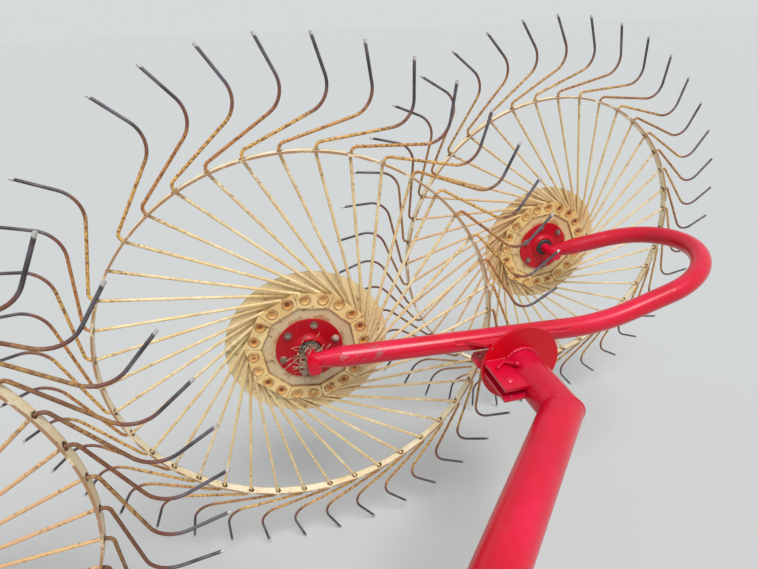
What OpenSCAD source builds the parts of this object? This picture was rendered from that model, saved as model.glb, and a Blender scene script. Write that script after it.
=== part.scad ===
// Four-wheel finger-wheel hay rake for a three-point linkage.
// X points to the right and Y forwards, seen by the driver. Z is up, in millimetres.
// The origin is the centre of the top link's hole, in the rake's middle plane.

/* [Finger wheels] */
// Radius of the circle through the tine tips
tip_r = 700; // [690:1:705]
// Mean radius of the hoop that the tines pass through
rim_r = 476; // [474:1:478]
// Width of the hoop along the axle
rim_w = 22; // [20:1:26]
// Diameter of the spring wire
wire_d = 7; // [6.8:0.1:7]
// Distance from the wheel's centre to the line of a spoke
spoke_offset = 140; // [138:1:142]
// Angle of the wheels to the way the rake is towed
wheel_angle = 55; // [54:0.5:56]

/* [Rockers] */
// Distance between the two axles of a rocker, measured along the wheels
axle_gap = 845; // [840:1:850]
// Distance between the two wheels of a rocker, measured along their axles
wheel_stagger = 372; // [368:1:376]
// Diameter of the rocker's bent tube
rocker_d = 50.8; // [48:0.1:51]
// Diameter of the axle bars
axle_d = 30; // [28:1:32]

/* [Arms] */
// Diameter of the arms
arm_d = 88.9; // [86:0.1:90]
// Length of the long arm between its hinge and its elbow
long_arm = 2300; // [2280:1:2320]

/* [Hitch] */
// Height of the top link's hole above the ground
top_height = 960; // [955:1:965]
// Height of the top link's hole above the lower pins
mast_height = 460; // [455:1:465]
// Distance between the shoulders of the lower pins
hitch_w = 683; // [680:1:686]
// Diameter of the lower pins
hitch_pin_d = 22; // [21.9:0.1:22.1]
// Diameter of the hole for the top link's pin
top_bore_d = 19.3; // [19.1:0.1:19.6]

/* [Hidden] */
$fn = 48;

ground = -top_height;
wheel_z = ground + tip_r;
seam = 1;
fit = 0.05;
washer = 1;

// How the wire is bent, from the hoop outwards
tine_count = 40;
pitch = 360 / tine_count;
ball_d = wire_d + 0.4;
back_lean = 7;
stub_turn = 10;
knee_r = 14;
knee_turn = 67.5;
fold_r = 58;
fold_turn = 81.5;
to_knee = 17;
to_fold = 215;
layer = 3.8;
held_len = 50;
spoke_angle = asin(spoke_offset / rim_r);
spoke_len = round(100 * (rim_r * cos(spoke_angle) - held_len)) / 100;
lay_angle = atan(layer / spoke_len);

// The tip's length is worked out so that every tip lies on the circle of radius tip_r
knee_tan = knee_r * tan(knee_turn / 2);
fold_tan = fold_r * tan(fold_turn / 2);
function in_wheel_plane(x, z) =
    [z * cos(back_lean) * cos(stub_turn) + x * sin(stub_turn), x * cos(stub_turn) - z * cos(back_lean) * sin(stub_turn)];
fold_at = [rim_r, 0] + in_wheel_plane(-to_fold * sin(knee_turn), to_knee + to_fold * cos(knee_turn));
tip_way = in_wheel_plane(sin(fold_turn - knee_turn), cos(fold_turn - knee_turn));
tip_dot = fold_at * tip_way;
to_tip = (sqrt(tip_dot * tip_dot - tip_way * tip_way * (fold_at * fold_at - tip_r * tip_r)) - tip_dot) / (tip_way * tip_way);

// Each wheel: rocker it is on, place on the rocker, angle of its first tine, tine broken off at the hoop
ROCKER = 0;
PLACE = 1;
PHASE = 2;
BROKEN = 3;
wheels = [
    [0, 0, 82.8, 7],
    [0, 1, 134.7, -1],
    [1, 1, 59.0, -1],
    [1, 0, 100.3, -1]
];

// Wheel centre, as heights in front of the middle of the hoop
hoop_t = 5;
wire_top = layer + wire_d / 2;
disc_r = 198;
disc_t = 3;
core_r = 144;
core_in_r = 100;
plate_count = 10;
plate_in_r = 115;
plate_out_r = 155;
plate_t = 4;
plate_turn = 15.2;
cup_r = 134.5;
cup_h = 1.5;
cup_rim_r = 12.8;
cup_depth = 4.3;
cup_ball_r = 15;
open_cup = 4;
centre_top = wire_top;
hub_disc_r = 81.5;
hub_disc_t = 5;
hub_r = 39;
boss_r = 29;
boss_top = 19;
hub_back = -34;
seal_r = 22;
axle_front = 101;
nut_r = 22;
nut_t = 12;

// Places in a rocker's own frame: X along the wheels, Y away from the hitch, origin at its first wheel's centre
pivot_x = 490;
pivot_z = -52;
bar_y = -62;
bar_taper = 70;
bar_end_d = 34;
first_heading = -5.3;
easy_x = 723.5;
easy_r = 600;
hook_tilt = 16.4;
hook_r = 196.8;
heading_in = -75.4;
heading_out = 83.7;
sleeve_r = 38;
sleeve_front = -149;
sleeve_back = -75;
pivot_pin_d = 40;
pivot_disc_r = 101;
pivot_disc_y = -151;
pivot_disc_t = 8;
elbow_y = -340;
flange_t = 8;
gusset_z = 8;
tongue_z = -58;
arm_to_wheels = 45.5;
pair_step = [1743, 716];

// Arms and hinges
arm_trail = wheel_angle - arm_to_wheels;
turn_to_row = 270 - wheel_angle;
arm_z = wheel_z + pivot_z;
hinge_y = -250;
hinge_r = 38;
hinge_pin_d = 30;
hinge_h = 98;
beam_w = 100;
beam_y = -120;
beam_len = 860;
hinge_plate_t = 12;
sector_r = 150;
slot_r = 120;
stud_d = 16;
slot_w = 18;
lug_half = 34;
sector_cut = 95;
arm_wall = 6;
beam_wall = 6;
leg_wall = 5;
swing = [[-10, 5], [-5, 5]];

// Mast, hitch and stands
ear_in = 26;
ear_t = 12;
ear_r = 28;
leg_x = 240;
hitch_plate_t = 15;
hitch_pin_len = 75;
stand_x = beam_len / 2 + 30;
leg_w = 50;
stand_sleeve_w = 60;
stand_sleeve_h = 170;
foot_w = 130;
foot_t = 8;

function turned(p, a) = [p[0] * cos(a) - p[1] * sin(a), p[0] * sin(a) + p[1] * cos(a)];
function way(a) = [cos(a), sin(a)];
function left_of(a) = [-sin(a), cos(a)];
function cross2(a, b) = a[0] * b[1] - a[1] * b[0];

arm_way = [-sin(arm_trail), -cos(arm_trail)];
pair_shift = turned(-pair_step, turn_to_row);
short_arm = long_arm - pair_shift[1] / cos(arm_trail);
hinge_gap = pair_shift[0] - (long_arm - short_arm) * sin(arm_trail);
arm_len = [long_arm, short_arm];
hinge_at = [[-hinge_gap / 2, hinge_y], [hinge_gap / 2, hinge_y]];
function elbow_at(i) = hinge_at[i] + arm_len[i] * arm_way;
function pair_at(i) = elbow_at(i) - turned([pivot_x, elbow_y], turn_to_row);

// Moves a rocker's or an arm's drawing into its place on the rake
module in_pair(i) {
    translate([pair_at(i)[0], pair_at(i)[1], wheel_z]) rotate([0, 0, turn_to_row]) children();
}

// Moves a wheel drawn flat, front face up, into its place on its rocker
module in_wheel(n) {
    w = wheels[n - 1];
    in_pair(w[ROCKER])
        translate([w[PLACE] * axle_gap, w[PLACE] * wheel_stagger, 0])
            rotate([90, 0, 0])
                children();
}

// A pipe is drawn along Z. A bend turns it towards X and carries its children to the bend's end.
module bend(r, turn, d) {
    translate([r, 0, 0]) rotate([90, 0, 180]) rotate_extrude(angle = turn) translate([r, 0]) circle(d = d);
    translate([r, 0, 0]) rotate([0, turn, 0]) translate([-r, 0, 0]) children();
}

module outer_wire() {
    straight = to_fold - knee_tan - fold_tan;
    rotate([back_lean, -stub_turn, 0]) {
        translate([0, 0, seam]) cylinder(h = to_knee - knee_tan - seam, d = wire_d);
        translate([0, 0, to_knee - knee_tan]) rotate([0, 0, 180]) bend(knee_r, knee_turn, wire_d) {
            sphere(d = ball_d);
            translate([0, 0, seam]) cylinder(h = straight - seam, d = wire_d);
            translate([0, 0, straight]) rotate([0, 0, 180]) bend(fold_r, fold_turn, wire_d) {
                sphere(d = ball_d);
                translate([0, 0, seam]) cylinder(h = to_tip - fold_tan - seam, d = wire_d);
            }
        }
    }
}

module spoke(side) {
    sphere(d = ball_d);
    rotate([side * lay_angle, 180 + spoke_angle, 0])
        translate([0, 0, seam]) cylinder(h = spoke_len - seam, d = wire_d);
}

module tines(n) {
    w = wheels[n - 1];
    color("burlywood") in_wheel(n)
        for (k = [0 : tine_count - 1])
            rotate([0, 0, w[PHASE] + pitch * k]) translate([rim_r, 0, 0]) rotate([90, 0, 90]) {
                spoke(k % 2 == 0 ? 1 : -1);
                if (k != w[BROKEN]) outer_wire();
            }
}

module hoop(n) {
    color("antiquewhite") in_wheel(n) difference() {
        cylinder(h = rim_w, r = rim_r + hoop_t / 2, center = true);
        cylinder(h = rim_w + 2, r = rim_r - hoop_t / 2, center = true);
        for (k = [0 : tine_count - 1])
            rotate([0, 90, wheels[n - 1][PHASE] + pitch * k])
                translate([0, 0, rim_r - 10]) cylinder(h = 20, d = wire_d + 2);
    }
}

module wheel_disc(n) {
    color("wheat") in_wheel(n) rotate([0, 0, wheels[n - 1][PHASE] + plate_turn]) difference() {
        union() {
            translate([0, 0, -wire_top - disc_t]) cylinder(h = disc_t, r = disc_r);
            difference() {
                translate([0, 0, -wire_top - disc_t]) cylinder(h = 2 * wire_top + disc_t, r = core_r);
                translate([0, 0, -wire_top]) cylinder(h = 2 * wire_top - disc_t, r = core_in_r);
            }
        }
        translate([0, 0, -50]) cylinder(h = 100, r = hub_r);
    }
}

module clamp_plate() {
    half = 180 / plate_count;
    difference() {
        union() {
            linear_extrude(plate_t)
                polygon([
                    for (c = [[plate_in_r, -1], [plate_out_r, -1], [plate_out_r, 1], [plate_in_r, 1]])
                        [c[0] * cos(half), c[1] * (c[0] * sin(half) - 0.5)]
                ]);
            for (s = [-1, 1])
                rotate([0, 0, s * half / 2]) translate([cup_r, 0, plate_t / 2])
                    cylinder(h = plate_t / 2 + cup_h, r1 = cup_rim_r, r2 = cup_rim_r - 1);
        }
        for (s = [-1, 1])
            rotate([0, 0, s * half / 2]) translate([cup_r, 0, plate_t + cup_h - cup_depth + cup_ball_r])
                sphere(r = cup_ball_r);
    }
}

module clamp_plates(n) {
    first = wheels[n - 1][PHASE] + plate_turn + 180 / plate_count;
    color("wheat") in_wheel(n) difference() {
        for (k = [0 : plate_count - 1])
            rotate([0, 0, first + 360 / plate_count * k]) translate([0, 0, wire_top]) clamp_plate();
        if (n == 1)
            rotate([0, 0, first + 360 / plate_count * (open_cup + 0.25)])
                translate([cup_r, 0, wire_top - 1]) cylinder(h = 20, r = 6);
    }
}

module hub(n) {
    color("crimson") in_wheel(n) difference() {
        union() {
            translate([0, 0, centre_top]) cylinder(h = hub_disc_t, r = hub_disc_r);
            translate([0, 0, hub_back]) cylinder(h = centre_top - hub_back, r = hub_r);
            translate([0, 0, centre_top]) cylinder(h = boss_top - centre_top, r = boss_r);
        }
        translate([0, 0, hub_back - 1]) cylinder(h = boss_top - hub_back + 2, d = axle_d + 2 * fit);
    }
}

module axle() {
    translate([0, 0, hub_back - washer]) cylinder(h = axle_front - hub_back + washer, d = axle_d);
    translate([0, 0, boss_top + washer]) cylinder(h = 4, r = seal_r);
    translate([0, 0, hub_back - washer - nut_t]) cylinder(h = nut_t, r = nut_r);
}

module axles(i) {
    color("firebrick") in_pair(i)
        for (place = [0, 1])
            translate([place * axle_gap, place * wheel_stagger, 0]) rotate([90, 0, 0]) axle();
}

// The hook lies in a tilted plane through the easy bend's corner and the second axle
easy_at = [easy_x, bar_y + easy_x * tan(first_heading), 0];
span = [axle_gap, wheel_stagger + bar_y, 0] - easy_at;
span_heading = atan2(span[1], span[0]);
hook_way = [norm(span), 0] + hook_r * (left_of(heading_out) - left_of(heading_in));
hook_in = cross2(hook_way, way(heading_out)) / cross2(way(heading_in), way(heading_out));
hook_out = cross2(way(heading_in), hook_way) / cross2(way(heading_in), way(heading_out));
hook_side = [-sin(span_heading) * cos(hook_tilt), cos(span_heading) * cos(hook_tilt), -sin(hook_tilt)];
hook_dir = span / norm(span) * cos(heading_in) + hook_side * sin(heading_in);
lead_dir = [cos(first_heading), sin(first_heading), 0];
easy_bend = acos(lead_dir * hook_dir);
easy_roll = atan2(hook_dir[2], lead_dir[0] * hook_dir[1] - lead_dir[1] * hook_dir[0]);
easy_tan = easy_r * tan(easy_bend / 2);
first_len = easy_x / cos(first_heading) - easy_tan - bar_taper;
tube_ball = rocker_d + 0.3;

module rocker_tube() {
    translate([0, bar_y, 0]) rotate([0, 0, first_heading]) rotate([90, 0, 90]) {
        cylinder(h = bar_taper, d1 = bar_end_d, d2 = rocker_d);
        translate([0, 0, bar_taper]) cylinder(h = first_len - seam, d = rocker_d);
        translate([0, 0, bar_taper + first_len]) {
            sphere(d = tube_ball);
            rotate([0, 0, easy_roll]) bend(easy_r, easy_bend, rocker_d) sphere(d = tube_ball);
        }
    }
}

module hook_tube() {
    translate(easy_at) rotate([0, 0, span_heading]) rotate([-hook_tilt, 0, 0])
        rotate([0, 0, heading_in]) rotate([90, 0, 90]) {
            translate([0, 0, easy_tan + seam]) cylinder(h = hook_in - easy_tan - 2 * seam, d = rocker_d);
            translate([0, 0, hook_in]) {
                sphere(d = tube_ball);
                bend(hook_r, heading_out - heading_in, rocker_d) {
                    sphere(d = tube_ball);
                    translate([0, 0, seam]) cylinder(h = hook_out - bar_taper - seam, d = rocker_d);
                    translate([0, 0, hook_out - bar_taper])
                        cylinder(h = bar_taper, d1 = rocker_d, d2 = bar_end_d);
                }
            }
        }
}

// The gusset and the tongue lie flat, the flange stands on the sleeve's front end
module rocker_plates() {
    edge = sleeve_front;
    translate([0, 0, gusset_z]) linear_extrude(flange_t)
        polygon([
            [pivot_x - 161, bar_y - 36], [pivot_x - 88, edge],
            [pivot_x + 95, edge], [pivot_x + 150, bar_y - 38]
        ]);
    translate([pivot_x, edge + flange_t, 0]) rotate([90, 0, 0]) linear_extrude(flange_t)
        polygon([
            [-88, gusset_z + 2], [95, gusset_z + 2], [36, pivot_z + 6], [-36, pivot_z + 6]
        ]);
    translate([0, 0, tongue_z]) linear_extrude(flange_t)
        polygon([
            [pivot_x - 102, edge + 14], [pivot_x - 90, edge], [pivot_x - 20, edge],
            [pivot_x - 20, -80], [pivot_x - 88, -80], [pivot_x - 102, -96]
        ]);
}

module rocker(i) {
    color("crimson") in_pair(i) difference() {
        union() {
            rocker_tube();
            hook_tube();
            translate([pivot_x, sleeve_back, pivot_z]) rotate([90, 0, 0])
                cylinder(h = sleeve_back - sleeve_front, r = sleeve_r);
            rocker_plates();
        }
        for (place = [0, 1])
            translate([place * axle_gap, place * wheel_stagger, 0]) rotate([90, 0, 0])
                cylinder(h = axle_front, d = axle_d);
        translate([pivot_x, 0, pivot_z]) rotate([90, 0, 0]) cylinder(h = 300, d = pivot_pin_d + 2 * fit);
        translate([pivot_x - 78, -94, tongue_z - 5]) cylinder(h = flange_t + 10, d = 14);
    }
}

module rocker_pin(i) {
    color("dimgray") in_pair(i) translate([pivot_x, pivot_disc_y, pivot_z]) rotate([-90, 0, 0]) {
        cylinder(h = sleeve_back - pivot_disc_y + washer, d = pivot_pin_d);
        translate([0, 0, sleeve_back - pivot_disc_y + washer]) cylinder(h = 6, r = 30);
        translate([0, 0, sleeve_back - pivot_disc_y + washer + 6]) cylinder(h = 14, r = 26, $fn = 6);
    }
}

module pivot_disc(i) {
    color("crimson") in_pair(i) translate([pivot_x, pivot_disc_y, pivot_z])
        rotate([90, 0, 0]) cylinder(h = pivot_disc_t, r = pivot_disc_r);
}

// One side of the mitred elbow, along Z and cut off at the mitre
module mitred(length, d) {
    lean = (90 - arm_to_wheels) / 2;
    intersection() {
        rotate([0, lean, 0]) translate([0, 0, -arm_d]) cylinder(h = length + arm_d, d = d);
        translate([-arm_d, -arm_d, 0]) cube([length + 2 * arm_d, 2 * arm_d, length + arm_d]);
    }
}

module elbow_tube(i, d, extra) {
    lean = (90 - arm_to_wheels) / 2;
    stub = pivot_disc_y - pivot_disc_t - elbow_y;
    in_pair(i) translate([pivot_x, elbow_y, pivot_z]) rotate([0, 0, 90 - lean]) rotate([90, 0, 90]) {
        mitred(stub + extra, d);
        mirror([0, 0, 1]) mitred(arm_len[i], d);
    }
}

module arm(i) {
    color("crimson") difference() {
        union() {
            difference() {
                union() {
                    elbow_tube(i, arm_d, 0);
                    translate([hinge_at[i][0], hinge_at[i][1], arm_z - hinge_h / 2])
                        cylinder(h = hinge_h, r = hinge_r);
                }
                elbow_tube(i, arm_d - 2 * arm_wall, 1);
            }
            difference() {
                translate([hinge_at[i][0], hinge_at[i][1], arm_z - hinge_h / 2])
                    cylinder(h = hinge_h, r = hinge_r);
                translate([hinge_at[i][0], hinge_at[i][1], arm_z - hinge_h])
                    cylinder(h = 2 * hinge_h, d = hinge_pin_d + 2 * fit);
            }
            translate([hinge_at[i][0] + slot_r * arm_way[0], hinge_at[i][1] + slot_r * arm_way[1], arm_z]) {
                translate([0, 0, arm_d / 2 - arm_wall])
                    cylinder(h = hinge_h / 2 + hinge_plate_t + 22 - arm_d / 2 + arm_wall, d = stud_d);
                translate([0, 0, hinge_h / 2 + hinge_plate_t + 2]) cylinder(h = 16, r = 15, $fn = 6);
            }
        }
        translate([hinge_at[i][0], hinge_at[i][1], arm_z - hinge_h]) cylinder(h = 2 * hinge_h, d = hinge_pin_d + 2 * fit);
    }
}

// A piece of round bar between two points, kept short of the balls at its ends
module rod(a, b, d) {
    v = b - a;
    translate(a) rotate([0, acos(v[2] / norm(v)), atan2(v[1], v[0])])
        translate([0, 0, seam]) cylinder(h = norm(v) - 2 * seam, d = d);
}

module lock_bracket(i) {
    pin_at = [419, -237, -26];
    latch = [[412, -194, -20.5], [433, -177, -20.5], [454, -204, -13]];
    latch_d = 9;
    color("crimson") in_pair(i) {
        difference() {
            for (z = [-34, -62])
                translate([394, -268, z]) cube([112, 268 + pivot_disc_y - pivot_disc_t, 8]);
            translate([pivot_x, 0, pivot_z]) rotate([90, 0, 0]) cylinder(h = 300, d = arm_d);
            translate(pin_at - [0, 0, 74]) cylinder(h = 100, d = 14);
            translate(latch[0] - [0, 0, 80]) cylinder(h = 100, d = latch_d);
        }
        translate(pin_at - [0, 0, 44]) cylinder(h = 44, d = 14);
        translate(pin_at) intersection() {
            translate([0, 0, -9.5]) sphere(r = 15);
            cylinder(h = 8, r = 11.5);
        }
        translate(latch[0] - [0, 0, 50]) cylinder(h = 50 - seam, d = latch_d);
        for (k = [0, 1]) {
            translate(latch[k]) sphere(d = latch_d + 0.8);
            rod(latch[k], latch[k + 1], latch_d);
        }
        translate(latch[2]) sphere(d = 13);
    }
}

module cross_tube() {
    inner = beam_w - 2 * beam_wall;
    color("crimson") translate([0, beam_y, arm_z]) difference() {
        translate([-beam_len / 2, -beam_w / 2, -beam_w / 2]) cube([beam_len, beam_w, beam_w]);
        translate([-beam_len / 2 - 1, -inner / 2, -inner / 2]) cube([beam_len + 2, inner, inner]);
    }
}

module hinge_plate(i, top) {
    reach = beam_y + beam_w / 2 - hinge_y;
    difference() {
        union() {
            difference() {
                cylinder(h = hinge_plate_t, r = top ? sector_r : 55);
                translate([-sector_r - 1, sector_cut, -1]) cube([2 * sector_r + 2, sector_r, hinge_plate_t + 2]);
            }
            translate([-lug_half, 0, 0]) cube([2 * lug_half, reach, hinge_plate_t]);
        }
        translate([0, 0, -1]) cylinder(h = hinge_plate_t + 2, d = hinge_pin_d);
        if (top)
            rotate([0, 0, 270 - arm_trail]) {
                low = swing[i][0] - 1.5;
                high = swing[i][1] + 1.5;
                rotate([0, 0, low]) translate([0, 0, -1])
                    rotate_extrude(angle = high - low)
                        translate([slot_r - slot_w / 2, 0]) square([slot_w, hinge_plate_t + 2]);
                for (a = [low, high])
                    rotate([0, 0, a]) translate([slot_r, 0, -1]) cylinder(h = hinge_plate_t + 2, d = slot_w + 2);
            }
    }
}

module hinge_plates() {
    color("crimson")
        for (i = [0, 1]) {
            translate([hinge_at[i][0], hinge_at[i][1], arm_z + beam_w / 2]) hinge_plate(i, true);
            translate([hinge_at[i][0], hinge_at[i][1], arm_z - beam_w / 2 - hinge_plate_t]) hinge_plate(i, false);
        }
}

module hinge_pins() {
    reach = beam_w / 2 + hinge_plate_t;
    color("dimgray")
        for (i = [0, 1])
            translate([hinge_at[i][0], hinge_at[i][1], arm_z]) {
                translate([0, 0, -reach - 16]) cylinder(h = 2 * reach + 16, d = hinge_pin_d);
                translate([0, 0, reach]) cylinder(h = 10, r = 22);
                translate([0, 0, -reach - 14]) rotate([0, 90, 0]) cylinder(h = 56, d = 6, center = true);
            }
}

module flat_bar(a, b, w, t) {
    v = b - a;
    translate(a) rotate([0, acos(v[2] / norm(v)), atan2(v[1], v[0])])
        translate([-t / 2, -w / 2, 0]) cube([t, w, norm(v)]);
}

module mast() {
    beam_top = arm_z + beam_w / 2;
    color("crimson") difference() {
        union() {
            for (s = [-1, 1]) {
                translate([s > 0 ? ear_in : -ear_in - ear_t, 0, 0]) rotate([90, 0, 90]) cylinder(h = ear_t, r = ear_r);
                translate([s > 0 ? ear_in : -ear_in - ear_t, -ear_r, -90]) cube([ear_t, 2 * ear_r, 90]);
                flat_bar([s * leg_x, beam_y, beam_top - 12], [s * (ear_in + 14), 0, -62], 60, 14);
            }
            translate([-ear_in - ear_t, -ear_r, -92]) cube([2 * (ear_in + ear_t), 2 * ear_r, 12]);
        }
        translate([-100, 0, 0]) rotate([0, 90, 0]) cylinder(h = 200, d = top_bore_d);
        translate([-beam_len / 2, beam_y - beam_w, beam_top - 100]) cube([beam_len, 2 * beam_w, 100]);
        translate([-ear_in, -50, -80]) cube([2 * ear_in, 100, 120]);
    }
}

module mast_brace() {
    beam_top = arm_z + beam_w / 2;
    color("crimson") difference() {
        flat_bar([0, beam_y - 30, beam_top - 12], [0, -ear_r - 6, -72], 50, 12);
        translate([-100, beam_y - beam_w, beam_top - 100]) cube([200, 2 * beam_w, 100]);
        translate([-100, -ear_r, -200]) cube([200, 100, 200]);
    }
}

module hitch_plates() {
    plate_top = arm_z + beam_w / 2 - 6;
    beam_front = beam_y + beam_w / 2;
    color("crimson")
        for (s = [-1, 1])
            difference() {
                translate([s > 0 ? hitch_w / 2 - hitch_plate_t : -hitch_w / 2, 0, 0])
                    rotate([90, 0, 90]) linear_extrude(hitch_plate_t)
                        union() {
                            polygon([
                                [beam_front, plate_top], [-10, plate_top], [38, -mast_height + 20],
                                [38, -mast_height], [-30, -mast_height - 30], [beam_front, arm_z - beam_w / 2 - 10]
                            ]);
                            translate([0, -mast_height]) circle(r = 38);
                        }
                translate([-500, 0, -mast_height]) rotate([0, 90, 0]) cylinder(h = 1000, d = hitch_pin_d + 2);
            }
}

module hitch_pins() {
    color("silver")
        for (s = [0, 180])
            rotate([0, 0, s]) translate([hitch_w / 2, 0, -mast_height]) rotate([0, 90, 0]) {
                translate([0, 0, -hitch_plate_t]) cylinder(h = hitch_plate_t, d = hitch_pin_d + 2);
                cylinder(h = hitch_pin_len, d = hitch_pin_d);
                translate([0, 0, -hitch_plate_t - 12]) cylinder(h = 12, r = 19);
            }
}

module stand_sleeves() {
    bore = leg_w + 1;
    color("crimson")
        for (s = [-1, 1])
            translate([s * stand_x, beam_y, arm_z]) {
                difference() {
                    translate([-stand_sleeve_w / 2, -stand_sleeve_w / 2, -stand_sleeve_h / 2])
                        cube([stand_sleeve_w, stand_sleeve_w, stand_sleeve_h]);
                    translate([-bore / 2, -bore / 2, -stand_sleeve_h]) cube([bore, bore, 2 * stand_sleeve_h]);
                    rotate([0, s * 90, 0]) cylinder(h = stand_sleeve_w, d = 10);
                }
                rotate([0, s * 90, 0]) {
                    translate([0, 0, leg_w / 2 + 0.2]) cylinder(h = 60, d = 10);
                    translate([0, 0, stand_sleeve_w / 2]) cylinder(h = 12, r = 11, $fn = 6);
                }
                translate([s * (leg_w / 2 + 54), 0, -40]) cylinder(h = 80, d = 10);
            }
}

module stand(s) {
    top = arm_z + stand_sleeve_h / 2 + 40;
    inner = leg_w - 2 * leg_wall;
    color("crimson") translate([s * stand_x, beam_y, 0]) {
        difference() {
            translate([-leg_w / 2, -leg_w / 2, ground + foot_t]) cube([leg_w, leg_w, top - ground - foot_t]);
            translate([-inner / 2, -inner / 2, ground + foot_t + 1]) cube([inner, inner, top - ground]);
        }
        translate([-foot_w / 2, -foot_w / 2, ground]) cube([foot_w, foot_w, foot_t]);
    }
}

tines(1);  // tines_1
tines(2);  // tines_2
tines(3);  // tines_3
tines(4);  // tines_4
hoop(1);  // hoop_1
hoop(2);  // hoop_2
hoop(3);  // hoop_3
hoop(4);  // hoop_4
wheel_disc(1);  // wheel_disc_1
wheel_disc(2);  // wheel_disc_2
wheel_disc(3);  // wheel_disc_3
wheel_disc(4);  // wheel_disc_4
clamp_plates(1);  // clamp_plates_1
clamp_plates(2);  // clamp_plates_2
clamp_plates(3);  // clamp_plates_3
clamp_plates(4);  // clamp_plates_4
hub(1);  // hub_1
hub(2);  // hub_2
hub(3);  // hub_3
hub(4);  // hub_4
rocker(0);  // rocker_a
rocker(1);  // rocker_b
axles(0);  // axles_a
axles(1);  // axles_b
arm(0);  // arm_a
arm(1);  // arm_b
pivot_disc(0);  // pivot_disc_a
pivot_disc(1);  // pivot_disc_b
lock_bracket(0);  // lock_bracket_a
lock_bracket(1);  // lock_bracket_b
rocker_pin(0);  // rocker_pin_a
rocker_pin(1);  // rocker_pin_b
cross_tube();
hinge_plates();
hinge_pins();
mast();
mast_brace();
hitch_plates();
hitch_pins();
stand_sleeves();
stand(-1);  // stand_left
stand(1);  // stand_right
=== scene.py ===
import math
import random

import bmesh
import bpy
from mathutils import Matrix, Vector


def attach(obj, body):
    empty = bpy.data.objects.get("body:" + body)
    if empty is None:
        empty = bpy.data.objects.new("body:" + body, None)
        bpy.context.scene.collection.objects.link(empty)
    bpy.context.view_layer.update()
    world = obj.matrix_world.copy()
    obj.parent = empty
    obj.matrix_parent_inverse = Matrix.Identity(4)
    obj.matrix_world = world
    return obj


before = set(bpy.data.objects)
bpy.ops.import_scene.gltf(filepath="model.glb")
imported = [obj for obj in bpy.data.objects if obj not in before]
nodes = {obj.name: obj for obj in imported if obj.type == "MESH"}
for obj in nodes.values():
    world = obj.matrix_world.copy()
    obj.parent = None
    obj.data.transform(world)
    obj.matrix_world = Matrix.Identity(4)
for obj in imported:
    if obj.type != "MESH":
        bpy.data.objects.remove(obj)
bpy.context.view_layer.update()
print("frame loaded:", len(nodes), "nodes")

# Places of the rake's own frames and of what repeats round a wheel, in metres and degrees
layout = {
    "ground": -0.960,
    "rowTurn": 215,
    "wheelHeight": -0.260,
    "pairs": {"a": (-0.159035, -2.515916), "b": (0.858066, -0.929660)},
    "axleGap": 0.845,
    "stagger": 0.372,
    "wheels": {
        1: {"pair": "a", "place": 0, "phase": 82.8},
        2: {"pair": "a", "place": 1, "phase": 134.7},
        3: {"pair": "b", "place": 1, "phase": 59.0},
        4: {"pair": "b", "place": 0, "phase": 100.3},
    },
    "tinePitch": 9.0,
    "holeRing": 0.476,
    "plateTurn": 15.2,
    "platePitch": 36.0,
    "cupPitch": 18.0,
    "cupRing": 0.1345,
}


def moveBy(x, y, z):
    return Matrix.Translation((x, y, z))


def turnBy(degrees, axis):
    return Matrix.Rotation(math.radians(degrees), 4, axis)


def pairMatrix(side):
    x, y = layout["pairs"][side]
    return moveBy(x, y, layout["wheelHeight"]) @ turnBy(layout["rowTurn"], "Z")


def wheelMatrix(number):
    wheel = layout["wheels"][number]
    shift = moveBy(wheel["place"] * layout["axleGap"], wheel["place"] * layout["stagger"], 0)
    return pairMatrix(wheel["pair"]) @ shift @ turnBy(90, "X")


def addObject(name, data):
    made = bpy.data.objects.new(name, data)
    bpy.context.scene.collection.objects.link(made)
    return made


def makeCamera():
    view = {
        "place": (-0.72086, -1.56646, 0.4591),
        "forward": (0.3237, -0.8292, -0.4557),
        "up": (0.1261, -0.4395, 0.8893),
        "lens": 25.09,
        "sensor": 36,
        "near": 0.02,
        "far": 200,
    }
    forward = Vector(view["forward"]).normalized()
    right = forward.cross(Vector(view["up"])).normalized()
    up = right.cross(forward)
    data = bpy.data.cameras.new("photoCamera")
    data.lens = view["lens"]
    data.sensor_width = view["sensor"]
    data.clip_start = view["near"]
    data.clip_end = view["far"]
    camera = addObject("photoCamera", data)
    turn = Matrix((right, up, -forward)).transposed()
    camera.matrix_world = Matrix.Translation(view["place"]) @ turn.to_4x4()
    bpy.context.scene.camera = camera


def makeFloor():
    look = {"size": 60, "middle": (0, -1.7), "colour": (0.50, 0.51, 0.50), "rough": 0.9}
    bm = bmesh.new()
    bmesh.ops.create_grid(bm, x_segments=1, y_segments=1, size=look["size"],
                          matrix=moveBy(*look["middle"], layout["ground"]))
    mesh = bpy.data.meshes.new("floor")
    bm.to_mesh(mesh)
    bm.free()
    floor = addObject("floor", mesh)
    material = bpy.data.materials.new("paleFloor")
    material.use_nodes = True
    shader = material.node_tree.nodes["Principled BSDF"]
    shader.inputs["Base Color"].default_value = (*look["colour"], 1)
    shader.inputs["Roughness"].default_value = look["rough"]
    mesh.materials.append(material)


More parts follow.
